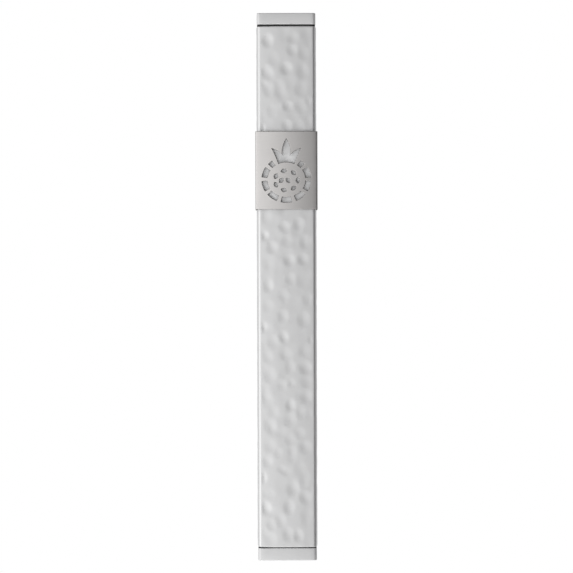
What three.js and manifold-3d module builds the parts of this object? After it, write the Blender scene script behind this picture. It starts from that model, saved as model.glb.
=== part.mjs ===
// A mezuzah case: a hammered aluminium tube closed at both ends by push-in caps, with a steel sleeve clipped
// round it whose front is cut out as a pomegranate, a rolled parchment inside and foam tape on the back.
// Millimetres, +Z up. The front faces -Y. The origin is the middle of the tape's face, which goes on the doorpost.

import * as THREE from "three";
import { mergeVertices } from "three/addons/utils/BufferGeometryUtils.js";
import Module from "manifold-3d";

const wasm = await Module();
wasm.setup();

// ---- Driving dimensions ----

const OVERALL_HEIGHT = 218;
const CONTACT_GAP = 0.02; // left between pieces that touch
const OVERRUN = 1; // how far a cutter runs past what it cuts
const ROUND_SIDES = 16; // of a screw or its hole

const TUBE = { width: 24, depth: 14, wall: 1.5, corner: 1.4, innerCorner: 0.4, endChamfer: 0.3 };
const CLOSURE_HEIGHT = 5.3; // how far a closure stands out of the tube: its cap and its plug's flange
const CAP = { inset: 0.3, edgeRound: 0.3, holeSpare: 0.4 };
const PLUG = {
  flange: { top: 0.7, bottom: 0.3 }, // the dark line between cap and tube
  flangeInset: 0.45,
  reach: 11, // how far it goes into the tube
  wall: 1.5,
  floor: 1.8,
  slack: 0.35, // between the plug's walls and the tube's
  ribSlack: 0.08,
  ribHeight: 0.8,
  ribs: 3,
};
const SCREW = {
  shank: 1.25,
  head: 2.2,
  headHeight: 1.5,
  headSteps: 3,
  length: 5.6,
  spacing: 11,
  clearance: 0.1,
};
const RECESS = { length: 2.6, width: 0.6, depth: 0.8 };
const SLEEVE = { height: 31, centre: 46.3, sheet: 0.35, slack: 0.05, innerBend: 0.35, backGap: 14.2 };
const TAPE = { width: 12, height: 170, thickness: 1.1, corner: 1 };
const PARCHMENT = { height: 120, sheet: 0.2, pitch: 0.38, innerRadius: 2.6, turns: 5 };
const WRAPPER = { height: 122, innerRadius: 4.75, wall: 0.2 };

// The pomegranate, a plain traditional one: an oval ring of dashes, seeds inside it and a three-leaved crown.
// Angles are in degrees, anticlockwise from the right as seen from the front. Points are [x, z] from the
// fruit's centre.
const FRUIT = { centre: 42.6, halfWidth: 9.8, halfHeight: 9.1, band: 2.15 };
const RING = { dashes: 9, opening: 70, gap: 10.5, endDash: 12 }; // the opening is under the crown
const SEED = { length: 2.3, width: 1.6 };
const SEED_RING = { seeds: 7, halfWidth: 4.6, halfHeight: 3.9, centre: [0, -0.3] };
const MIDDLE_SEEDS = { spread: 2.7, shift: -0.65, lean: 50 };
const CROWN = {
  baseHalfWidth: 3.15,
  sideTip: [5.8, 12.5],
  valley: [1.2, 9.45],
  middleTip: [0, 16.3],
  // how the edges between them bow
  outerBow: [4.1, 9.3],
  innerBow: [2.8, 11.6],
  middleBow: [2.6, 11.8],
};

// ---- Sizes that follow ----

const TUBE_LENGTH = OVERALL_HEIGHT - 2 * CLOSURE_HEIGHT;
const TUBE_END = TUBE_LENGTH / 2;
const CAVITY = { width: TUBE.width - 2 * TUBE.wall, depth: TUBE.depth - 2 * TUBE.wall };
const AXIS_Y = -TAPE.thickness - TUBE.depth / 2; // the tube's axis
const SCROLL_FOOT = -TUBE_END + PLUG.reach + CONTACT_GAP;
const innerOval = new THREE.Vector2(FRUIT.halfWidth - FRUIT.band, FRUIT.halfHeight - FRUIT.band);

// ---- Materials ----

const finish = (color, roughness, metalness, more = {}) =>
  new THREE.MeshStandardMaterial({ color, roughness, metalness, ...more });
const hammeredAluminium = finish(0xc6c6c6, 0.4, 1);
const sandedAluminium = finish(0xc2c2c2, 0.45, 1);
const brushedSteel = finish(0xb4b0ae, 0.32, 1);
const blackNylon = finish(0x101010, 0.6, 0);
const zincSteel = finish(0xa8abb0, 0.3, 1);
const foam = finish(0xdcdad4, 0.95, 0);
const parchmentSkin = finish(0xe6d6b0, 0.8, 0);
const clearFilm = finish(0xf4f6f6, 0.15, 0, { transparent: true, opacity: 0.35 });

// ---- Helpers ----

// A rectangle with rounded corners, centred on the shape's origin.
function roundedRectangle(width, depth, corner) {
  const x = width / 2 - corner;
  const y = depth / 2 - corner;
  const shape = new THREE.Shape();
  shape.absarc(x, y, corner, 0, Math.PI / 2);
  shape.absarc(-x, y, corner, Math.PI / 2, Math.PI);
  shape.absarc(-x, -y, corner, Math.PI, (3 * Math.PI) / 2);
  shape.absarc(x, -y, corner, (3 * Math.PI) / 2, 2 * Math.PI);
  return shape;
}

// The shape drawn out upwards from `bottom`. `edge` rounds or chamfers both ends inside the outline.
function prism(shape, bottom, height, { edge = 0, edgeSteps = 1, curveSegments = 3 } = {}) {
  const geometry = new THREE.ExtrudeGeometry(shape, {
    depth: height - 2 * edge,
    bevelEnabled: edge > 0,
    bevelThickness: edge,
    bevelSize: edge,
    bevelOffset: -edge,
    bevelSegments: edgeSteps,
    curveSegments,
  });
  return geometry.translate(0, 0, bottom + edge);
}

// The shape, drawn in the X-Z plane, carried from y = `front` back by `thickness`.
function standing(shape, front, thickness, options) {
  return prism(shape, 0, thickness, options).rotateX(Math.PI / 2).translate(0, front + thickness, 0);
}

function ring(outer, inner, bottom, height, options) {
  const shape = outer.clone();
  shape.holes.push(inner);
  return prism(shape, bottom, height, options);
}

function cylinder(radius, bottom, height, x) {
  const geometry = new THREE.CylinderGeometry(radius, radius, height, ROUND_SIDES).rotateX(Math.PI / 2);
  return geometry.translate(x, 0, bottom + height / 2);
}

function box(width, depth, height, x, y, z) {
  return new THREE.BoxGeometry(width, depth, height).translate(x, y, z);
}

function solid(geometry) {
  const bare = geometry.clone();
  bare.deleteAttribute("normal");
  bare.deleteAttribute("uv");
  const merged = mergeVertices(bare, 1e-4);
  const vertProperties = merged.attributes.position.array;
  const triVerts = new Uint32Array(merged.index.array);
  return new wasm.Manifold(new wasm.Mesh({ numProp: 3, vertProperties, triVerts }));
}

function joined(...geometries) {
  return geometries.map(solid).reduce((whole, piece) => whole.add(piece));
}

function cut(body, ...tools) {
  return tools.reduce((left, tool) => left.subtract(solid(tool)), body);
}

function geometryOf(body) {
  const { vertProperties, triVerts } = body.getMesh();
  return new THREE.BufferGeometry()
    .setAttribute("position", new THREE.BufferAttribute(vertProperties, 3))
    .setIndex(new THREE.BufferAttribute(triVerts, 1));
}

function part(name, geometry, material) {
  const mesh = new THREE.Mesh(geometry, material);
  mesh.name = name;
  return mesh;
}

// ---- The tube ----

function caseTube() {
  const outer = roundedRectangle(TUBE.width, TUBE.depth, TUBE.corner);
  const inner = roundedRectangle(CAVITY.width, CAVITY.depth, TUBE.innerCorner);
  return ring(outer, inner, -TUBE_END, TUBE_LENGTH, { edge: TUBE.endChamfer });
}

// ---- The sleeve ----

const degrees = THREE.MathUtils.degToRad;

// The ring's dashes, anticlockwise from the crown's left. The two beside the crown are short.
function ringOfDashes() {
  const { dashes, opening, gap, endDash } = RING;
  const longDash = (360 - opening - 2 * endDash - (dashes - 1) * gap) / (dashes - 2);
  let start = 90 + opening / 2;
  return Array.from({ length: dashes }, (_, i) => {
    const span = i === 0 || i === dashes - 1 ? endDash : longDash;
    const end = start + span;
    const shape = new THREE.Shape();
    shape.absellipse(0, 0, FRUIT.halfWidth, FRUIT.halfHeight, degrees(start), degrees(end));
    shape.absellipse(0, 0, innerOval.x, innerOval.y, degrees(end), degrees(start), true);
    start = end + gap;
    return shape;
  });
}

// A pointed oval that leans by an angle from the horizontal.
function seed(x, z, lean) {
  const tip = new THREE.Vector2(SEED.length / 2, 0).rotateAround(new THREE.Vector2(), lean);
  const side = new THREE.Vector2(0, SEED.width).rotateAround(new THREE.Vector2(), lean);
  const shape = new THREE.Shape();
  shape.moveTo(x + tip.x, z + tip.y);
  shape.quadraticCurveTo(x + side.x, z + side.y, x - tip.x, z - tip.y);
  shape.quadraticCurveTo(x - side.x, z - side.y, x + tip.x, z + tip.y);
  return shape;
}

// Seeds evenly round an oval, each leaning along it, and two in the middle that lean together.
function seeds() {
  const [centreX, centreZ] = SEED_RING.centre;
  const round = Array.from({ length: SEED_RING.seeds }, (_, i) => {
    const angle = (2 * Math.PI * i) / SEED_RING.seeds;
    const x = centreX + SEED_RING.halfWidth * Math.cos(angle);
    const z = centreZ + SEED_RING.halfHeight * Math.sin(angle);
    return seed(x, z, angle + Math.PI / 2);
  });
  const middle = [-1, 1].map((side) => {
    const x = centreX + MIDDLE_SEEDS.shift + (side * MIDDLE_SEEDS.spread) / 2;
    return seed(x, centreZ, degrees(-side * MIDDLE_SEEDS.lean));
  });
  return [...round, ...middle];
}

// Three leaves that stand on the ring's inner oval, the same on both sides.
function crown() {
  const baseAngle = Math.acos(CROWN.baseHalfWidth / innerOval.x);
  const baseCorner = [CROWN.baseHalfWidth, innerOval.y * Math.sin(baseAngle)];
  const corners = [baseCorner, CROWN.sideTip, CROWN.valley, CROWN.middleTip];
  const bows = [CROWN.outerBow, CROWN.innerBow, CROWN.middleBow];
  const shape = new THREE.Shape();
  shape.absellipse(0, 0, innerOval.x, innerOval.y, baseAngle, Math.PI - baseAngle);
  bows.forEach(([x, z], i) => {
    const [endX, endZ] = corners[i + 1];
    shape.quadraticCurveTo(-x, z, -endX, endZ);
  });
  for (let i = bows.length - 1; i >= 0; i--) {
    shape.quadraticCurveTo(...bows[i], ...corners[i]);
  }
  return shape;
}

// A sheet bent round the front, both sides and a little of the back, so that it clips onto the tube.
function pomegranateSleeve() {
  const inner = roundedRectangle(
    TUBE.width + 2 * SLEEVE.slack,
    TUBE.depth + 2 * SLEEVE.slack,
    SLEEVE.innerBend,
  );
  const growth = SLEEVE.slack + SLEEVE.sheet;
  const outer = roundedRectangle(
    TUBE.width + 2 * growth,
    TUBE.depth + 2 * growth,
    SLEEVE.innerBend + SLEEVE.sheet,
  );
  const closed = ring(outer, inner, SLEEVE.centre - SLEEVE.height / 2, SLEEVE.height);
  const slotHeight = SLEEVE.height + 2 * OVERRUN;
  const slot = box(SLEEVE.backGap, TUBE.depth, slotHeight, 0, TUBE.depth / 2, SLEEVE.centre);

  const cutterFront = -TUBE.depth / 2 - growth - OVERRUN;
  const motif = [...ringOfDashes(), ...seeds(), crown()];
  const cutters = motif.map((shape) =>
    standing(shape, cutterFront, growth + 2 * OVERRUN, { curveSegments: 4 }).translate(0, 0, FRUIT.centre),
  );
  return geometryOf(cut(solid(closed), slot, ...cutters));
}

// ---- An end closure: a cap held on a plug by two screws ----
// It is drawn standing on z = 0, the tube's end, with the plug above and the cap below, as at the bottom end.

const screwPlaces = [-SCREW.spacing / 2, SCREW.spacing / 2];

function cap(flange) {
  const outline = roundedRectangle(
    TUBE.width - 2 * CAP.inset,
    TUBE.depth - 2 * CAP.inset,
    TUBE.corner - CAP.inset / 2,
  );
  const height = CLOSURE_HEIGHT - flange;
  const block = prism(outline, -CLOSURE_HEIGHT, height, { edge: CAP.edgeRound, edgeSteps: 3 });
  const holeDepth = SCREW.length - flange - PLUG.floor + CAP.holeSpare;
  const holes = screwPlaces.map((x) =>
    cylinder(SCREW.shank + SCREW.clearance, -flange - holeDepth, holeDepth + OVERRUN, x),
  );
  return geometryOf(cut(solid(block), ...holes));
}

function plug(flange) {
  const foot = prism(
    roundedRectangle(
      TUBE.width - 2 * PLUG.flangeInset,
      TUBE.depth - 2 * PLUG.flangeInset,
      TUBE.corner - PLUG.flangeInset / 2,
    ),
    -flange + CONTACT_GAP,
    flange - 2 * CONTACT_GAP,
  );
  const width = CAVITY.width - 2 * PLUG.slack;
  const depth = CAVITY.depth - 2 * PLUG.slack;
  const footMiddle = -flange / 2;
  const body = prism(roundedRectangle(width, depth, TUBE.innerCorner), footMiddle, PLUG.reach - footMiddle);
  const ribOutline = roundedRectangle(
    CAVITY.width - 2 * PLUG.ribSlack,
    CAVITY.depth - 2 * PLUG.ribSlack,
    TUBE.innerCorner,
  );
  const ribPitch = PLUG.reach / (PLUG.ribs + 1);
  const ribs = Array.from({ length: PLUG.ribs }, (_, i) =>
    prism(ribOutline, (i + 1) * ribPitch - PLUG.ribHeight / 2, PLUG.ribHeight),
  );
  const hollow = prism(
    roundedRectangle(width - 2 * PLUG.wall, depth - 2 * PLUG.wall, TUBE.innerCorner),
    PLUG.floor,
    PLUG.reach,
  );
  const holes = screwPlaces.map((x) =>
    cylinder(SCREW.shank + SCREW.clearance, -flange - OVERRUN, PLUG.reach, x),
  );
  return geometryOf(cut(joined(foot, body, ...ribs), hollow, ...holes));
}

// A pan-head screw, head up, its head resting on the plug's floor.
function capScrew(x) {
  const { shank, head, headHeight, length, headSteps } = SCREW;
  const crownOfHead = Array.from({ length: headSteps + 1 }, (_, i) => {
    const angle = (Math.PI / 2) * (i / headSteps);
    return [head * Math.cos(angle), headHeight * Math.sin(angle)];
  });
  const profile = [[0, -length], [shank, -length + shank], [shank, 0], ...crownOfHead].map(
    ([radius, height]) => new THREE.Vector2(radius, height),
  );
  const body = new THREE.LatheGeometry(profile, ROUND_SIDES).rotateX(Math.PI / 2);
  const recess = [
    box(RECESS.length, RECESS.width, 2 * RECESS.depth, 0, 0, headHeight),
    box(RECESS.width, RECESS.length, 2 * RECESS.depth, 0, 0, headHeight),
  ];
  return geometryOf(cut(solid(body), ...recess)).translate(x, 0, PLUG.floor + CONTACT_GAP);
}

// The four pieces of one end, named after it. The top end is the bottom one turned over.
function closure(end) {
  const isTop = end === "top";
  const flange = PLUG.flange[end];
  const [left, right] = isTop ? [...screwPlaces].reverse() : screwPlaces;
  const group = new THREE.Group();
  group.add(
    part(`${end}_cap`, cap(flange), sandedAluminium),
    part(`${end}_plug`, plug(flange), blackNylon),
    part(`${end}_cap_screw_left`, capScrew(left), zincSteel),
    part(`${end}_cap_screw_right`, capScrew(right), zincSteel),
  );
  group.rotation.y = isTop ? Math.PI : 0;
  group.position.z = isTop ? TUBE_END : -TUBE_END;
  return group;
}

// ---- What is inside, and the tape ----

// A sheet rolled from the middle outwards.
function parchmentScroll() {
  const { innerRadius, pitch, sheet, turns, height } = PARCHMENT;
  const stepsPerTurn = 22;
  const steps = turns * stepsPerTurn;
  const spiral = (thickness) =>
    Array.from({ length: steps + 1 }, (_, i) => {
      const angle = (2 * Math.PI * i) / stepsPerTurn;
      const radius = innerRadius + (pitch * i) / stepsPerTurn + thickness;
      return new THREE.Vector2(radius * Math.cos(angle), radius * Math.sin(angle));
    });
  const outline = new THREE.Shape([...spiral(sheet), ...spiral(0).reverse()]);
  return prism(outline, SCROLL_FOOT + (WRAPPER.height - height) / 2, height);
}

function scrollWrapper() {
  const circle = (radius) => new THREE.Shape().absarc(0, 0, radius, 0, 2 * Math.PI);
  const { innerRadius, wall, height } = WRAPPER;
  const outer = circle(innerRadius + wall);
  return ring(outer, circle(innerRadius), SCROLL_FOOT, height, { curveSegments: 14 });
}

function mountingTape() {
  const outline = roundedRectangle(TAPE.width, TAPE.height, TAPE.corner);
  return standing(outline, -TAPE.thickness + CONTACT_GAP, TAPE.thickness - CONTACT_GAP);
}

// ---- The whole case ----

const onAxis = new THREE.Group();
onAxis.position.y = AXIS_Y;
onAxis.add(
  part("case_tube", caseTube(), hammeredAluminium),
  part("pomegranate_sleeve", pomegranateSleeve(), brushedSteel),
  part("parchment_scroll", parchmentScroll(), parchmentSkin),
  part("scroll_wrapper", scrollWrapper(), clearFilm),
  closure("top"),
  closure("bottom"),
);

const mezuzahCase = new THREE.Group();
mezuzahCase.add(onAxis, part("mounting_tape", mountingTape(), foam));

export default mezuzahCase;
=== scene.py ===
"""A mezuzah case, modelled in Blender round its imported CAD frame.

The hammered aluminium tube, the cut-out steel sleeve, the caps, the foam tape and the wrapped parchment
are built here in mesh code. The plugs and screws are the CAD solids with softened edges. The frame is the
CAD's, in metres: +Z up, the front faces -Y, and the tape's back face is at y = 0.
"""

import math

import bmesh
import bpy
import numpy as np
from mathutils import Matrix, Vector


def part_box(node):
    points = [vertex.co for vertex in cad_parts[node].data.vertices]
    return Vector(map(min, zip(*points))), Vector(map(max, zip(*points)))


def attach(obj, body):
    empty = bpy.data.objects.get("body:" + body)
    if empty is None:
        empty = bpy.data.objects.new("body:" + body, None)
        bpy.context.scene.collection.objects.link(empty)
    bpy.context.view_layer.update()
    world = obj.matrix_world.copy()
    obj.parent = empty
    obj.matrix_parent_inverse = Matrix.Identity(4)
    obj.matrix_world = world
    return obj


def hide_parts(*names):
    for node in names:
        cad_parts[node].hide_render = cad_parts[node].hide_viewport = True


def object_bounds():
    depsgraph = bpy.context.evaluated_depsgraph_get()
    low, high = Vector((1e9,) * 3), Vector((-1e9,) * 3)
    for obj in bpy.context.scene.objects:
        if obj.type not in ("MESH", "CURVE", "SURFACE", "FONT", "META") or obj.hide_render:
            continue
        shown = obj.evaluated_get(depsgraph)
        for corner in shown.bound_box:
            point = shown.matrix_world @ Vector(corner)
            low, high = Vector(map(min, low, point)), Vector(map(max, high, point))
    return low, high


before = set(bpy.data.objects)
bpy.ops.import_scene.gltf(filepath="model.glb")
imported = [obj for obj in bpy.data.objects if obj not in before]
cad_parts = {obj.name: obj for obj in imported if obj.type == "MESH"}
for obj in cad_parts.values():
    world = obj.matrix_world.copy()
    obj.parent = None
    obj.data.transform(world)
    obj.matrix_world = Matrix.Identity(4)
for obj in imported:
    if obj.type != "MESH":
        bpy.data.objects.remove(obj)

CAD_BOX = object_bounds()
MM = 0.001
METRE = 1000  # in millimetres
QUARTER_TURN = math.pi / 2
WHITE = (1, 1, 1, 1)

# ---- Sizes read from the frame ----

TUBE_LOW, TUBE_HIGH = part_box("case_tube")
SLEEVE_LOW, SLEEVE_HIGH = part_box("pomegranate_sleeve")
FILM_LOW, FILM_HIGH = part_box("scroll_wrapper")
TAPE_LOW, TAPE_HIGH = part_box("mounting_tape")
AXIS_Y = (TUBE_LOW.y + TUBE_HIGH.y) / 2

# ---- Details that the CAD leaves plain, in millimetres and degrees ----

CORNER_STEPS = 6  # mesh steps round a corner
SOFT_STEPS = 2  # mesh steps in a softened edge
SOFTENED_ANGLE = 40  # edges of a CAD solid that turn by more than this are softened

TUBE_WALL = 1.5
TUBE_CORNER = 1.7
TUBE_EDGE = 0.3  # rounding of the tube's cut ends
TUBE_STEP = 0.5  # mesh spacing on the hammered faces
TUBE_ROUNDING = (0, 30, 60)  # angles of the mesh steps on its edges
# How far the tube's faces fall back at their corners, and over what reach.
SHOULDERS = [
    {"corner": "front_left", "depth": 0.48, "reach": 9.0},
    {"corner": "front_right", "depth": 0.32, "reach": 9.0},
    {"corner": "back", "depth": 0.08, "reach": 2.0},
]
# Hammer blows fall in rough columns: a first round of deep ones and a second of shallow ones.
BLOWS = [
    {"pitch": 7.0, "rise": (4.6, 8.6), "radius": (2.4, 3.3), "depth": (0.1, 0.27)},
    {"pitch": 5.2, "rise": (4.0, 9.0), "radius": (2.0, 3.6), "depth": (0.02, 0.12)},
]
BLOW_SEED = 7
BLOW_JITTER = 1.6
BLOW_STRETCH = (1.0, 1.4)
BLOW_MARGIN = 1.2  # how far from a corner the blows reach their full depth
CORNER_SMOOTHER = 0.22  # by how much less rough the corners are
CORNER_NORMAL = (0.12, 0.4)  # the product of a normal's x and y where a corner starts, and where it is full

CAP_CORNER = 1.25
CAP_EDGE = 0.35
CAP_RIM = 0.56  # how far in from the side the flat of a cap's end starts
CAP_STEP = 1.5
CAP_ROUNDING = (0, 15, 30, 45, 60, 75, 90)
CAP_BOW = {"top_cap": 0.03, "bottom_cap": 0.35}  # how far sanding has bowed the caps' fronts and backs

SHEET = 0.35
SHEET_EDGE = 0.17  # rounding of the sheet's cut edges
SLEEVE_BEND = 0.7  # outside radius
SLEEVE_BACK_GAP = 14.2
SLEEVE_STAND_OFF = 0.45  # how much further than in the CAD the front stands off the tube
SLEEVE_CROWN = 0.12  # how far the front bows outwards in its middle
SLEEVE_BOW = 0.45  # how far its shading bows besides
SLEEVE_STEPS = 8  # mesh steps across half the front, and round each fold
CUT_FACING = 0.8  # a face of the flat sheet whose normal has less than this across the sheet is a cut edge
WELD = 1e-4  # points of the sheet that are closer than this become one

# The pomegranate. Angles run anticlockwise from the right, and points are (x, z) from the fruit's centre. The
# centre is measured up from the middle of the case.
FRUIT = {"centre": 42.6, "half_width": 9.8, "half_height": 9.1, "band": 2.15}
RING = {"dashes": 9, "opening": 70, "gap": 10.5, "end_dash": 12}
SEED = {"length": 2.3, "width": 1.6}
SEED_RING = {"seeds": 7, "half_width": 4.6, "half_height": 3.9, "centre": (0, -0.3)}
MIDDLE_SEEDS = {"spread": 2.7, "shift": -0.65, "lean": 50}
CROWN = {
    "base_half_width": 3.15,
    "corners": [(5.8, 12.5), (1.2, 9.45), (0, 16.3)],  # side tip, valley, middle tip
    "bows": [(4.1, 9.3), (2.8, 11.6), (2.6, 11.8)],  # how the edges that end there bow
}
ARC_STEP = 3
CURVE_STEPS = 10

PARCHMENT = {"thickness": 0.2, "pitch": 0.38, "inner_radius": 2.6, "turns": 5, "rows": 25}
FILM = {"thickness": 0.12, "pitch": 0.05, "lap": 70, "inset": 0.2, "rows": 41}
SPIRAL_STEPS = 48  # in each turn
TAPE = {"corner": 1.0, "corner_steps": 5, "step": 1.0, "softness": 0.15}
TAPE_WAIST = 0.12  # how far its sides are drawn in, half way through it
TAPE_EDGE = [(2, 0), (1, 0), (0.3, 0.3), (0, 1)]  # inset and depth round an edge, as parts of its softness

PLUG_EDGE = 0.12  # how far the CAD solids' edges are softened
SCREW_EDGE = 0.08

# Edges that turn by more than this are shaded as sharp. A step of a fold turns less than the sleeve's, and a
# softened edge more.
SHARP = {"tube": 40, "sleeve": 13, "cap": 60, "roll": 50, "tape": 60}

# ---- The stage, in metres ----

CAMERA_DISTANCE = 1.0
CAMERA_SHIFT = {"right": -0.00012, "up": 0.00008}
CAMERA_ROLL = 0.17  # degrees
CAMERA_NEAR = 0.05
FRAME_HEIGHT = 0.2281  # what the picture takes in at the caps' front face

FLOOR_RADIUS = 0.6
FLOOR_SIDES = 96
FLOOR_DROP = 0.0002
# The floor is unseen by a line of sight less steep than the first slope, and full from the second. It also
# fades from the distance to its rim.
FLOOR_FADE = {"slope": (0.13, 0.2), "distance": 0.1}
FLOOR_GLOW = 0.5
FLOOR_WHITE = (0.92, 0.92, 0.92, 1)

KEY_LIGHT = {"place": (-0.566, -0.724, -0.393), "size": (1.4, 1.4), "watts": 3.0}
ROOM_EVERYWHERE = 0.11
# The direction of a bright patch, the cosines to it where it starts and where it is full, and its strength.
ROOM_PATCHES = [
    ((-0.853, -0.492, -0.174), 0.18, 0.58, 0.74),
    ((0.2, 0.98, 0), -0.05, 0.65, 0.5),
    ((0, -0.5, -0.87), 0.6, 0.97, 1.0),
]

# ---- Mesh helpers ----


def mesh_piece(name, vertices, faces, material, body, replaced, sharp):
    """A smooth mesh that rides on a body and stands for a CAD node."""
    mesh = bpy.data.meshes.new(name)
    mesh.from_pydata([tuple(v) for v in vertices], [], faces)
    mesh.validate()
    place(name, mesh, material, body, replaced, sharp)


def place(name, mesh, material, body, replaced, sharp):
    mesh.shade_smooth()
    mesh.set_sharp_from_angle(angle=math.radians(sharp))
    mesh.materials.clear()
    mesh.materials.append(material)
    piece = bpy.data.objects.new(name, mesh)
    bpy.context.scene.collection.objects.link(piece)
    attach(piece, body)
    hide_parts(replaced)


def loft(loops, closed=False):
    """Vertices and faces of a skin through loops of equal length.

    A closed skin joins the last loop to the first. The other kind is capped at both ends.
    """
    rows, count = len(loops), len(loops[0])
    vertices = np.concatenate(loops)
    faces = []
    for row in range(rows if closed else rows - 1):
        low = row * count
        high = ((row + 1) % rows) * count
        for i in range(count):
            j = (i + 1) % count
            faces.append((low + i, low + j, high + j, high + i))
    if not closed:
        faces.append(tuple(reversed(range(count))))
        faces.append(tuple(range((rows - 1) * count, rows * count)))
    return vertices, faces


def rounded_rectangle(width, depth, corner, step, corner_steps=CORNER_STEPS):
    """Points round a rounded rectangle, anticlockwise from the left of its front (-y), all in millimetres.

    Returns positions, outward normals and the distance along the outline from the front's middle,
    which is negative on the left.
    """
    half_x = width / 2 - corner
    half_y = depth / 2 - corner
    sides = [((half_x, -half_y), 2 * half_x, -90), ((half_x, half_y), 2 * half_y, 0)]
    sides += [((-half_x, half_y), 2 * half_x, 90), ((-half_x, -half_y), 2 * half_y, 180)]
    points, normals, distances = [], [], []
    travelled = -half_x
    for (centre_x, centre_y), length, facing in sides:
        out = np.array([math.cos(math.radians(facing)), math.sin(math.radians(facing))])
        along = np.array([-out[1], out[0]])
        end = np.array([centre_x, centre_y]) + corner * out
        for t in np.linspace(0, length, max(2, round(length / step)) + 1)[:-1]:
            points.append(end - along * (length - t))
            normals.append(out)
            distances.append(travelled + t)
        travelled += length
        for i in range(corner_steps):
            turn = math.radians(facing + 90 * i / corner_steps)
            normal = np.array([math.cos(turn), math.sin(turn)])
            points.append(np.array([centre_x, centre_y]) + corner * normal)
            normals.append(normal)
            distances.append(travelled + corner * QUARTER_TURN * i / corner_steps)
        travelled += corner * QUARTER_TURN
    distances = np.array(distances)
    perimeter = travelled + half_x
    distances[distances > perimeter / 2] -= perimeter
    return np.array(points), np.array(normals), distances


def rounding(edge, angles):
    """Pairs of inset and rise along the quarter round of an edge, at angles from its flat end to its side."""
    return [
        (edge * (1 - math.sin(math.radians(angle))), edge * (1 - math.cos(math.radians(angle))))
        for angle in angles
    ]


def loop_at(points, z):
    """A loop in metres from an outline in millimetres round the tube's axis, at a height in metres."""
    return np.column_stack([points[:, 0] * MM, points[:, 1] * MM + AXIS_Y, np.full(len(points), z)])


# ---- Material helpers ----


def add_math(tree, operation, *values):
    """The result of a Math node. Its values are floats, or other nodes' outputs."""
    node = tree.nodes.new("ShaderNodeMath")
    node.operation = operation
    for socket, value in zip(node.inputs, values):
        if isinstance(value, float):
            socket.default_value = value
        else:
            tree.links.new(value, socket)
    return node.outputs[0]


class Finish:
    """A Principled material being wired up. Textures use object coordinates, in metres."""

    def __init__(self, name, plain):
        """Plain holds the values of inputs that have no texture."""
        self.material = bpy.data.materials.new(name)
        self.material.use_nodes = True
        self.tree = self.material.node_tree
        self.shader = self.tree.nodes["Principled BSDF"]
        for key, value in plain.items():
            self.shader.inputs[key].default_value = value
        self.coordinates = self.add("ShaderNodeTexCoord").outputs["Object"]
        self.surface_normal = None

    def add(self, kind, values=None, links=None, **settings):
        node = self.tree.nodes.new(kind)
        for key, value in settings.items():
            setattr(node, key, value)
        for key, value in (values or {}).items():
            node.inputs[key].default_value = value
        for key, output in (links or {}).items():
            self.tree.links.new(output, node.inputs[key])
        return node

    def compute(self, operation, *values):
        return add_math(self.tree, operation, *values)

    def split(self, vector):
        """The outputs X, Y and Z of a vector."""
        return self.add("ShaderNodeSeparateXYZ", links={"Vector": vector}).outputs

    def noise(self, size, detail=3.0, stretch=(1, 1, 1)):
        """Noise with features of a size in millimetres, drawn out along each axis by a factor."""
        scale = [1 / factor for factor in stretch]
        scaled = self.add("ShaderNodeMapping", {"Scale": scale}, {"Vector": self.coordinates})
        values = {"Scale": 1 / (size * MM), "Detail": detail}
        return self.add("ShaderNodeTexNoise", values, {"Vector": scaled.outputs[0]}).outputs["Fac"]

    def spread(self, value, low, high, near=0.3, far=0.7):
        """Maps near..far to low..high. The usual near and far take in most of a noise."""
        values = {"From Min": near, "From Max": far, "To Min": low, "To Max": high}
        return self.add("ShaderNodeMapRange", values, {"Value": value}).outputs["Result"]

    def drive(self, name, value):
        """Links a value to one of the shader's inputs."""
        self.tree.links.new(value, self.shader.inputs[name])

    def roughen(self, value):
        self.drive("Roughness", value)

    def tint(self, value, dark, light):
        ramp = self.add("ShaderNodeMix", {"A": (*dark, 1), "B": (*light, 1)}, data_type="RGBA")
        self.tree.links.new(value, ramp.inputs["Factor"])
        self.drive("Base Color", ramp.outputs["Result"])

    def bump(self, height, depth):
        """Raises the surface by a height texture, whose full range is a depth in millimetres."""
        links = {"Height": height}
        if self.surface_normal:
            links["Normal"] = self.surface_normal
        node = self.add("ShaderNodeBump", {"Distance": depth * MM, "Strength": 1.0}, links)
        self.surface_normal = node.outputs["Normal"]
        self.drive("Normal", self.surface_normal)


# ---- Materials ----


def hammered_aluminium():
    finish = Finish("hammered_aluminium", {"Metallic": 1})
    cloud = finish.noise(size=7)
    grain = finish.noise(size=0.25, detail=2)
    # The hammer never reached the corners, which keep the smoother skin of the drawn tube.
    facing = finish.split(finish.add("ShaderNodeNewGeometry").outputs["Normal"])
    corner = finish.compute("ABSOLUTE", finish.compute("MULTIPLY", facing["X"], facing["Y"]))
    smoother = finish.spread(corner, 0, CORNER_SMOOTHER, *CORNER_NORMAL)
    finish.roughen(finish.compute("SUBTRACT", finish.spread(cloud, low=0.66, high=0.7), smoother))
    finish.tint(cloud, dark=(0.84, 0.84, 0.845), light=(0.86, 0.86, 0.86))
    finish.bump(grain, depth=0.004)
    return finish.material


def sanded_aluminium():
    finish = Finish("sanded_aluminium", {"Metallic": 1})
    scratches = finish.noise(size=0.18, detail=4, stretch=(12, 12, 1))
    cloud = finish.noise(size=5)
    finish.roughen(finish.spread(cloud, low=0.65, high=0.71))
    finish.tint(scratches, dark=(0.81, 0.81, 0.815), light=(0.87, 0.87, 0.87))
    finish.bump(scratches, depth=0.005)
    return finish.material


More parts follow.
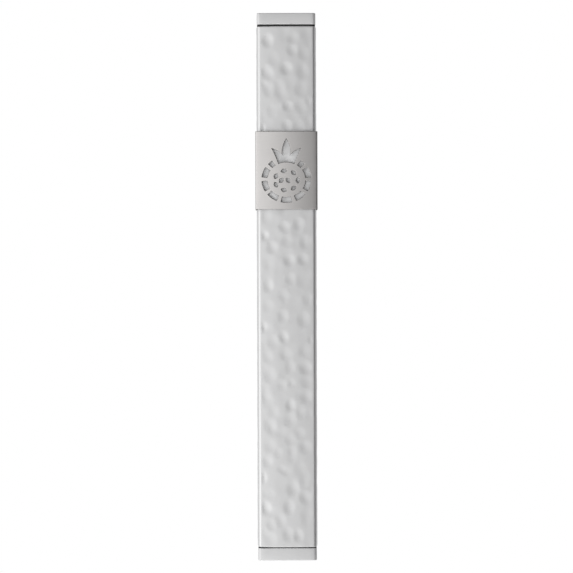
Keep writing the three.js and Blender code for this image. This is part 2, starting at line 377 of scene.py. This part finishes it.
def brushed_steel():
    finish = Finish("brushed_steel", {"Metallic": 1})
    lines = finish.noise(size=0.12, detail=5, stretch=(60, 60, 1))
    cloud = finish.noise(size=6)
    finish.roughen(finish.spread(cloud, low=0.34, high=0.38))
    finish.tint(lines, dark=(0.63, 0.614, 0.604), light=(0.69, 0.672, 0.662))
    finish.bump(lines, depth=0.004)
    # The shading of the front is bowed from side to side: a height of -bow * (x / half width) squared.
    across = finish.split(finish.coordinates)["X"]
    half_width = (SLEEVE_HIGH.x - SLEEVE_LOW.x) / 2
    square = finish.compute("MULTIPLY", across, across)
    finish.bump(finish.compute("MULTIPLY", square, -SLEEVE_BOW * MM / half_width**2), depth=METRE)
    return finish.material


def oxide_and_shade_edge():
    # The cut walls are near-black: partly the dark oxide that laser cutting leaves, and partly painted shade
    # that deepens the dark lines along the cut-outs' edges.
    finish = Finish("oxide_and_shade_edge", {"Metallic": 0.5, "Roughness": 0.6})
    lines = finish.noise(size=0.1, detail=3, stretch=(1, 6, 1))
    finish.tint(lines, dark=(0.07, 0.06, 0.055), light=(0.14, 0.125, 0.115))
    finish.bump(lines, depth=0.01)
    return finish.material


def black_nylon():
    finish = Finish("black_nylon", {})
    grain = finish.noise(size=0.3, detail=4)
    finish.roughen(finish.spread(finish.noise(size=4), low=0.48, high=0.62))
    finish.tint(grain, dark=(0.009, 0.009, 0.01), light=(0.018, 0.018, 0.019))
    finish.bump(grain, depth=0.02)
    return finish.material


def zinc_steel():
    finish = Finish("zinc_steel", {"Metallic": 1})
    cloud = finish.noise(size=0.8)
    finish.roughen(finish.spread(cloud, low=0.22, high=0.38))
    finish.tint(cloud, dark=(0.54, 0.55, 0.58), light=(0.66, 0.67, 0.68))
    finish.bump(finish.noise(size=0.15), depth=0.004)
    return finish.material


def foam():
    finish = Finish("foam_tape", {"Roughness": 0.9})
    cells = finish.noise(size=0.35, detail=5)
    finish.tint(finish.noise(size=9), dark=(0.74, 0.73, 0.69), light=(0.83, 0.82, 0.79))
    finish.bump(cells, depth=0.08)
    return finish.material


def parchment():
    scattering = {"Subsurface Weight": 0.1, "Subsurface Radius": (0.001, 0.0007, 0.0004)}
    finish = Finish("parchment", scattering)
    blotches = finish.noise(size=9, detail=6)
    fibres = finish.noise(size=0.3, detail=5, stretch=(1, 1, 6))
    finish.tint(finish.spread(blotches, low=0, high=1), dark=(0.74, 0.55, 0.3), light=(0.9, 0.76, 0.5))
    finish.roughen(finish.spread(fibres, low=0.6, high=0.85))
    finish.bump(fibres, depth=0.03)
    return finish.material


def clear_film():
    clear = {"Base Color": (0.97, 0.98, 0.98, 1), "Alpha": 0.2, "IOR": 1.9}
    gloss = {"Coat Weight": 1.0, "Coat Roughness": 0.05}
    finish = Finish("clear_film", {**clear, **gloss})
    finish.roughen(finish.spread(finish.noise(size=6), low=0.06, high=0.16))
    finish.bump(finish.noise(size=3, stretch=(1, 1, 4)), depth=0.12)
    return finish.material


HAMMERED_ALUMINIUM = hammered_aluminium()
SANDED_ALUMINIUM = sanded_aluminium()
BRUSHED_STEEL = brushed_steel()
OXIDE_AND_SHADE_EDGE = oxide_and_shade_edge()
BLACK_NYLON = black_nylon()
ZINC_STEEL = zinc_steel()
FOAM = foam()
PARCHMENT_SKIN = parchment()
CLEAR_FILM = clear_film()

# ---- The tube ----


def smooth_step(value):
    value = np.clip(value, 0, 1)
    return value * value * (3 - 2 * value)


def hammer_marks(along, up, low, high, rng):
    """Depth, in millimetres, that a hammer has sunk a face in rough columns of blows.

    The face spans low to high along the outline.
    """
    depth = np.zeros(np.broadcast(along, up).shape)
    for blows in BLOWS:
        columns = round((high - low) / blows["pitch"])
        for column in range(columns):
            z = up.min() - rng.uniform(0, blows["rise"][1])
            while z < up.max():
                x = low + (column + 0.5) * (high - low) / columns + rng.normal(0, BLOW_JITTER)
                radius = rng.uniform(*blows["radius"])
                tall = radius * rng.uniform(*BLOW_STRETCH)
                distance = ((along - x) / radius) ** 2 + ((up - z) / tall) ** 2
                depth += rng.uniform(*blows["depth"]) * np.clip(1 - distance, 0, None) ** 2
                z += rng.uniform(*blows["rise"])
    inside = np.minimum(along - low, high - along)
    return depth * smooth_step(inside / BLOW_MARGIN)


def shoulders(along, front, side):
    """How far each point of the outline falls back towards the corners.

    Front is the half length of the front and back faces and side the full length of a side face, between
    corners.
    """
    arc = TUBE_CORNER * QUARTER_TURN
    distance = np.abs(along)
    fall = np.zeros(len(along))
    for shoulder in SHOULDERS:
        at_back = shoulder["corner"] == "back"
        start = front + arc + side if at_back else front
        gap = np.maximum(np.maximum(start - distance, distance - start - arc), 0)
        here = shoulder["depth"] * np.clip(1 - gap / shoulder["reach"], 0, 1) ** 2
        on_its_side = at_back | ((along < 0) == (shoulder["corner"] == "front_left"))
        fall += np.where(on_its_side, here, 0)
    return fall


def hammered_tube():
    size = (TUBE_HIGH - TUBE_LOW) / MM
    points, normals, along = rounded_rectangle(size.x, size.y, TUBE_CORNER, TUBE_STEP)
    ends = [TUBE_LOW.z / MM, TUBE_HIGH.z / MM]
    heights = np.linspace(ends[0] + TUBE_EDGE, ends[1] - TUBE_EDGE, round(size.z / TUBE_STEP))

    front = size.x / 2 - TUBE_CORNER
    side_start = front + TUBE_CORNER * QUARTER_TURN
    side_end = side_start + size.y - 2 * TUBE_CORNER
    rng = np.random.default_rng(BLOW_SEED)
    sunk = np.zeros((len(heights), len(along)))
    for low, high in [(-front, front), (side_start, side_end), (-side_end, -side_start)]:
        sunk += hammer_marks(along[None, :], heights[:, None], low, high, rng)
    sunk += shoulders(along, front, side_end - side_start)[None, :]

    def outer(row, inset, z):
        return loop_at(points - normals * (sunk[row][:, None] + inset), z * MM)

    rounded = rounding(TUBE_EDGE, TUBE_ROUNDING)
    loops = [outer(0, inset, ends[0] + rise) for inset, rise in rounded]
    loops += [outer(row, 0, z) for row, z in enumerate(heights)]
    loops += [outer(-1, inset, ends[1] - rise) for inset, rise in rounded[::-1]]

    half_bore = np.array([size.x, size.y]) / 2 - TUBE_WALL
    bore = np.clip(points, -half_bore, half_bore)
    flared = bore * (1 + TUBE_EDGE / half_bore)
    for outline, z in [
        (flared, ends[1]),
        (bore, ends[1] - TUBE_EDGE),
        (bore, ends[0] + TUBE_EDGE),
        (flared, ends[0]),
    ]:
        loops.append(loop_at(outline, z * MM))
    vertices, faces = loft(loops, closed=True)
    mesh_piece("hammered_tube", vertices, faces, HAMMERED_ALUMINIUM, "case", "case_tube", SHARP["tube"])


# ---- The sleeve ----


def oval_arc(half_width, half_height, start, end):
    """Points along an oval about the fruit's centre, between two angles in degrees."""
    steps = max(3, round(abs(end - start) / ARC_STEP))
    angles = np.radians(np.linspace(start, end, steps + 1))
    return [(half_width * math.cos(a), half_height * math.sin(a)) for a in angles]


def bowed_edge(start, bow, end):
    """Points of a quadratic curve after its start."""
    return [
        tuple((1 - t) ** 2 * s + 2 * t * (1 - t) * b + t * t * e for s, b, e in zip(start, bow, end))
        for t in np.linspace(0, 1, CURVE_STEPS + 1)[1:]
    ]


def inner_oval():
    return FRUIT["half_width"] - FRUIT["band"], FRUIT["half_height"] - FRUIT["band"]


def ring_of_dashes():
    gaps = (RING["dashes"] - 1) * RING["gap"]
    long_dash = (360 - RING["opening"] - 2 * RING["end_dash"] - gaps) / (RING["dashes"] - 2)
    start = 90 + RING["opening"] / 2
    outlines = []
    for i in range(RING["dashes"]):
        end = start + (RING["end_dash"] if i in (0, RING["dashes"] - 1) else long_dash)
        outer = oval_arc(FRUIT["half_width"], FRUIT["half_height"], start, end)
        outlines.append(outer + oval_arc(*inner_oval(), end, start))
        start = end + RING["gap"]
    return outlines


def seed(x, z, lean):
    along = np.array([math.cos(lean), math.sin(lean)])
    across = np.array([-along[1], along[0]]) * SEED["width"]
    centre = np.array([x, z])
    tip = centre + along * SEED["length"] / 2
    tail = centre - along * SEED["length"] / 2
    return bowed_edge(tip, centre + across, tail) + bowed_edge(tail, centre - across, tip)


def seeds():
    centre_x, centre_z = SEED_RING["centre"]
    outlines = []
    for i in range(SEED_RING["seeds"]):
        angle = 2 * math.pi * i / SEED_RING["seeds"]
        x = centre_x + SEED_RING["half_width"] * math.cos(angle)
        z = centre_z + SEED_RING["half_height"] * math.sin(angle)
        outlines.append(seed(x, z, angle + QUARTER_TURN))
    for side in (-1, 1):
        x = centre_x + MIDDLE_SEEDS["shift"] + side * MIDDLE_SEEDS["spread"] / 2
        outlines.append(seed(x, centre_z, math.radians(-side * MIDDLE_SEEDS["lean"])))
    return outlines


def crown():
    half_width, half_height = inner_oval()
    base = math.degrees(math.acos(CROWN["base_half_width"] / half_width))
    outline = oval_arc(half_width, half_height, base, 180 - base)
    corners = [outline[0]] + CROWN["corners"]
    for (bow_x, bow_z), (x, z) in zip(CROWN["bows"], corners[1:]):
        outline += bowed_edge(outline[-1], (-bow_x, bow_z), (-x, z))
    for bow, corner in zip(CROWN["bows"][::-1], corners[-2::-1]):
        outline += bowed_edge(outline[-1], bow, corner)
    return outline[:-1]


def flat_sheet(outlines):
    """A flat plate with softened edges, in millimetres. The first outline is its edge, the rest holes."""
    curve = bpy.data.curves.new("sheet", "CURVE")
    curve.dimensions = "2D"
    curve.fill_mode = "BOTH"
    curve.extrude = SHEET / 2 - SHEET_EDGE
    curve.bevel_depth = SHEET_EDGE
    curve.bevel_resolution = SOFT_STEPS
    curve.offset = -SHEET_EDGE
    for outline in outlines:
        spline = curve.splines.new("POLY")
        spline.points.add(len(outline) - 1)
        for point, (x, y) in zip(spline.points, outline):
            point.co = (x, y, 0, 1)
        spline.use_cyclic_u = True
    holder = bpy.data.objects.new("sheet", curve)
    bpy.context.scene.collection.objects.link(holder)
    bpy.context.view_layer.update()
    evaluated = holder.evaluated_get(bpy.context.evaluated_depsgraph_get())
    mesh = bpy.data.meshes.new_from_object(evaluated)
    bpy.data.objects.remove(holder)
    return mesh


def bent(distance, thick, half_front, half_side):
    """Where a point of the flat sheet lands round the tube: x and y about its axis, in millimetres.

    The distance runs along the sheet's middle from the front's centre, and thick is outwards from the middle.
    """
    side = 1 if distance >= 0 else -1
    distance = abs(distance)
    middle = SLEEVE_BEND - SHEET / 2
    bend = middle * QUARTER_TURN
    radius = middle + thick
    if distance <= half_front:
        x = distance
        y = -(half_side + radius) - SLEEVE_CROWN * (1 - (distance / half_front) ** 2)
    elif distance <= half_front + bend:
        turn = (distance - half_front) / middle
        x = half_front + radius * math.sin(turn)
        y = -half_side - radius * math.cos(turn)
    elif distance <= half_front + bend + 2 * half_side:
        x = half_front + radius
        y = -half_side + distance - half_front - bend
    elif distance <= half_front + 2 * bend + 2 * half_side:
        turn = (distance - half_front - bend - 2 * half_side) / middle
        x = half_front + radius * math.cos(turn)
        y = half_side + radius * math.sin(turn)
    else:
        x = 2 * half_front + 2 * bend + 2 * half_side - distance
        y = half_side + radius
    return side * x, y


def pomegranate_sleeve():
    size = (SLEEVE_HIGH - SLEEVE_LOW) / MM
    half_front = size.x / 2 - SLEEVE_BEND
    half_side = (size.y + SLEEVE_STAND_OFF) / 2 - SLEEVE_BEND
    bend = (SLEEVE_BEND - SHEET / 2) * QUARTER_TURN
    back_flange = half_front - SLEEVE_BACK_GAP / 2
    half_length = half_front + 2 * bend + 2 * half_side + back_flange
    low, high = SLEEVE_LOW.z / MM, SLEEVE_HIGH.z / MM
    edge = [(-half_length, low), (half_length, low), (half_length, high), (-half_length, high)]
    motif = [
        [(x, z + FRUIT["centre"]) for x, z in reversed(outline)]
        for outline in [*ring_of_dashes(), *seeds(), crown()]
    ]
    mesh = flat_sheet([edge, *motif])

    shape = bmesh.new()
    shape.from_mesh(mesh)
    back_fold = half_front + 2 * half_side + bend
    round_fold = np.linspace(0, bend, SLEEVE_STEPS + 1)
    cuts = [*np.linspace(0, half_front, SLEEVE_STEPS + 1), *(half_front + round_fold[1:])]
    cuts += [*(back_fold + round_fold)]
    for cut in cuts:
        for side in (1, -1) if cut else (1,):
            everything = shape.verts[:] + shape.edges[:] + shape.faces[:]
            bmesh.ops.bisect_plane(shape, geom=everything, plane_co=(side * cut, 0, 0), plane_no=(1, 0, 0))
    bmesh.ops.remove_doubles(shape, verts=shape.verts[:], dist=WELD)
    shape.normal_update()
    cut_faces = [abs(face.normal.z) < CUT_FACING for face in shape.faces]
    for vertex in shape.verts:
        distance, z, thick = vertex.co
        x, y = bent(distance, thick, half_front, half_side)
        vertex.co = (x * MM, (y - SLEEVE_STAND_OFF / 2) * MM + AXIS_Y, z * MM)
    bmesh.ops.recalc_face_normals(shape, faces=shape.faces[:])
    shape.to_mesh(mesh)
    shape.free()
    place("sleeve_sheet", mesh, BRUSHED_STEEL, "sleeve", "pomegranate_sleeve", SHARP["sleeve"])
    # The cut walls take the near-black finish, partly oxide and partly painted shade.
    mesh.materials.append(OXIDE_AND_SHADE_EDGE)
    mesh.polygons.foreach_set("material_index", np.array(cut_faces, dtype=np.int32))


# ---- The caps ----


def end_cap(node, body):
    low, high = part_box(node)
    size = (high - low) / MM
    points, normals, _ = rounded_rectangle(size.x, size.y, CAP_CORNER, CAP_STEP)
    bow = CAP_BOW[node] * (1 - (2 * points[:, 0] / size.x) ** 2)
    points[:, 1] += np.sign(points[:, 1]) * (bow - CAP_BOW[node])
    profile = [(CAP_RIM, 0), *rounding(CAP_EDGE, CAP_ROUNDING)]
    loops = [loop_at(points - normals * inset, low.z + rise * MM) for inset, rise in profile]
    loops += [loop_at(points - normals * inset, high.z - rise * MM) for inset, rise in profile[::-1]]
    vertices, faces = loft(loops)
    mesh_piece(f"{node}_block", vertices, faces, SANDED_ALUMINIUM, body, node, SHARP["cap"])


# ---- The plugs and screws: the CAD solids, with softened edges ----


def soften(node, material, width):
    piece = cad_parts[node]
    piece.data.materials.clear()
    piece.data.materials.append(material)
    bevel = piece.modifiers.new("softened", "BEVEL")
    bevel.width = width * MM
    bevel.segments = SOFT_STEPS
    bevel.limit_method = "ANGLE"
    bevel.angle_limit = math.radians(SOFTENED_ANGLE)
    bevel.harden_normals = True


# ---- The parchment and its film ----


def spiral(inner_radius, pitch, turns, thickness):
    """Points of a rolled sheet's section, in millimetres: along its outer face, then back along its inner."""
    turn = np.linspace(0, turns, round(turns * SPIRAL_STEPS) + 1)
    angle = 2 * np.pi * turn
    radius = inner_radius + pitch * turn
    outer = np.column_stack([(radius + thickness) * np.cos(angle), (radius + thickness) * np.sin(angle)])
    inner = np.column_stack([radius * np.cos(angle), radius * np.sin(angle)])
    return np.concatenate([outer, inner[::-1]])


def upright_roll(name, section, rows, material, node):
    low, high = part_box(node)
    vertices, faces = loft([loop_at(section, z) for z in np.linspace(low.z, high.z, rows)])
    mesh_piece(name, vertices, faces, material, "scroll", node, SHARP["roll"])


def parchment_roll():
    roll = PARCHMENT
    section = spiral(roll["inner_radius"], roll["pitch"], roll["turns"], roll["thickness"])
    upright_roll("parchment_roll", section, roll["rows"], PARCHMENT_SKIN, "parchment_scroll")


def film_wrapper():
    radius = (FILM_HIGH.x - FILM_LOW.x) / 2 / MM - FILM["inset"]
    section = spiral(radius, FILM["pitch"], 1 + FILM["lap"] / 360, FILM["thickness"])
    upright_roll("film_wrapper", section, FILM["rows"], CLEAR_FILM, "scroll_wrapper")


# ---- The tape ----


def foam_tape():
    size = (TAPE_HIGH - TAPE_LOW) / MM
    centre = (TAPE_HIGH + TAPE_LOW) / 2
    points, normals, _ = rounded_rectangle(
        size.x, size.z, TAPE["corner"], TAPE["step"], TAPE["corner_steps"]
    )
    edge = [(inset * TAPE["softness"], depth * TAPE["softness"]) for inset, depth in TAPE_EDGE]
    far_edge = [(inset, size.y - depth) for inset, depth in reversed(edge)]
    loops = []
    for inset, depth in [*edge, (TAPE_WAIST, size.y / 2), *far_edge]:
        flat = points - normals * inset
        y = np.full(len(flat), TAPE_HIGH.y - depth * MM)
        loops.append(np.column_stack([flat[:, 0] * MM + centre.x, y, flat[:, 1] * MM + centre.z]))
    vertices, faces = loft(loops)
    mesh_piece("foam_tape", vertices, faces, FOAM, "case", "mounting_tape", SHARP["tape"])


# ---- The stage: floor, light and camera ----


def floor():
    """A white floor under the case, which stays under it when the bottom closure is pulled out.

    Only the camera sees it, because the lowest part of the light lies under its level.
    """
    bpy.ops.mesh.primitive_circle_add(vertices=FLOOR_SIDES, radius=FLOOR_RADIUS, fill_type="NGON")
    disc = bpy.context.object
    disc.name = "floor"
    disc.location = (0, AXIS_Y, CAD_BOX[0].z - FLOOR_DROP)
    glow = {"Emission Color": WHITE, "Emission Strength": FLOOR_GLOW}
    finish = Finish("floor", {"Base Color": FLOOR_WHITE, "Roughness": 0.8, **glow})
    # Seen nearly edge-on, and far out, it fades into the white behind, so that it has no horizon.
    slope = finish.split(finish.add("ShaderNodeNewGeometry").outputs["Incoming"])["Z"]
    steep = finish.spread(slope, 0, 1, *FLOOR_FADE["slope"])
    length = finish.add("ShaderNodeVectorMath", links={0: finish.coordinates}, operation="LENGTH")
    near = finish.spread(length.outputs["Value"], 1, 0, FLOOR_FADE["distance"], FLOOR_RADIUS)
    finish.drive("Alpha", finish.compute("MULTIPLY", steep, near))
    disc.data.materials.append(finish.material)
    disc.visible_diffuse = disc.visible_glossy = disc.visible_shadow = False
    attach(disc, "bottom_closure")


def key_light():
    """A large soft light, low on the left, that faces the middle of the case."""
    data = bpy.data.lights.new("key", "AREA")
    data.shape = "RECTANGLE"
    data.size, data.size_y = KEY_LIGHT["size"]
    data.energy = KEY_LIGHT["watts"]
    light = bpy.data.objects.new("key", data)
    bpy.context.scene.collection.objects.link(light)
    light.location = KEY_LIGHT["place"]
    light.visible_camera = False
    middle = Vector((0, AXIS_Y, 0))
    light.rotation_euler = (middle - light.location).to_track_quat("-Z", "Y").to_euler()


def room():
    """White behind the object. The metal reflects a soft room, bright on the left, behind and below."""
    world = bpy.data.worlds.new("room")
    bpy.context.scene.world = world
    world.use_nodes = True
    tree = world.node_tree
    direction = tree.nodes.new("ShaderNodeTexCoord").outputs["Generated"]
    brightest = 0.0
    for toward, start, full, strength in ROOM_PATCHES:
        cosine = tree.nodes.new("ShaderNodeVectorMath")
        cosine.operation = "DOT_PRODUCT"
        cosine.inputs[1].default_value = Vector(toward).normalized()
        tree.links.new(direction, cosine.inputs[0])
        patch = tree.nodes.new("ShaderNodeMapRange")
        patch.interpolation_type = "SMOOTHSTEP"
        for name, value in {"From Min": start, "From Max": full, "To Min": 0, "To Max": strength}.items():
            patch.inputs[name].default_value = value
        tree.links.new(cosine.outputs["Value"], patch.inputs["Value"])
        brightest = add_math(tree, "MAXIMUM", brightest, patch.outputs["Result"])
    brightness = add_math(tree, "ADD", ROOM_EVERYWHERE, brightest)
    camera_ray = tree.nodes.new("ShaderNodeLightPath").outputs["Is Camera Ray"]
    background = tree.nodes["Background"]
    tree.links.new(add_math(tree, "MAXIMUM", brightness, camera_ray), background.inputs["Strength"])
    background.inputs["Color"].default_value = WHITE


def camera():
    data = bpy.data.cameras.new("camera")
    viewer = bpy.data.objects.new("camera", data)
    bpy.context.scene.collection.objects.link(viewer)
    bpy.context.scene.camera = viewer
    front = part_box("top_cap")[0].y
    middle = (CAD_BOX[0].z + CAD_BOX[1].z) / 2
    viewer.location = (CAMERA_SHIFT["right"], front - CAMERA_DISTANCE, middle + CAMERA_SHIFT["up"])
    viewer.rotation_euler = (math.radians(90), math.radians(CAMERA_ROLL), 0)
    data.lens = data.sensor_width * CAMERA_DISTANCE / FRAME_HEIGHT
    data.clip_start = CAMERA_NEAR


# ---- Build ----

hammered_tube()
pomegranate_sleeve()
end_cap("top_cap", "top_closure")
end_cap("bottom_cap", "bottom_closure")
for end in ("top", "bottom"):
    soften(f"{end}_plug", BLACK_NYLON, PLUG_EDGE)
    for side in ("left", "right"):
        soften(f"{end}_cap_screw_{side}", ZINC_STEEL, SCREW_EDGE)
parchment_roll()
film_wrapper()
foam_tape()
floor()
key_light()
room()
camera()
bpy.context.scene.view_settings.view_transform = "Standard"
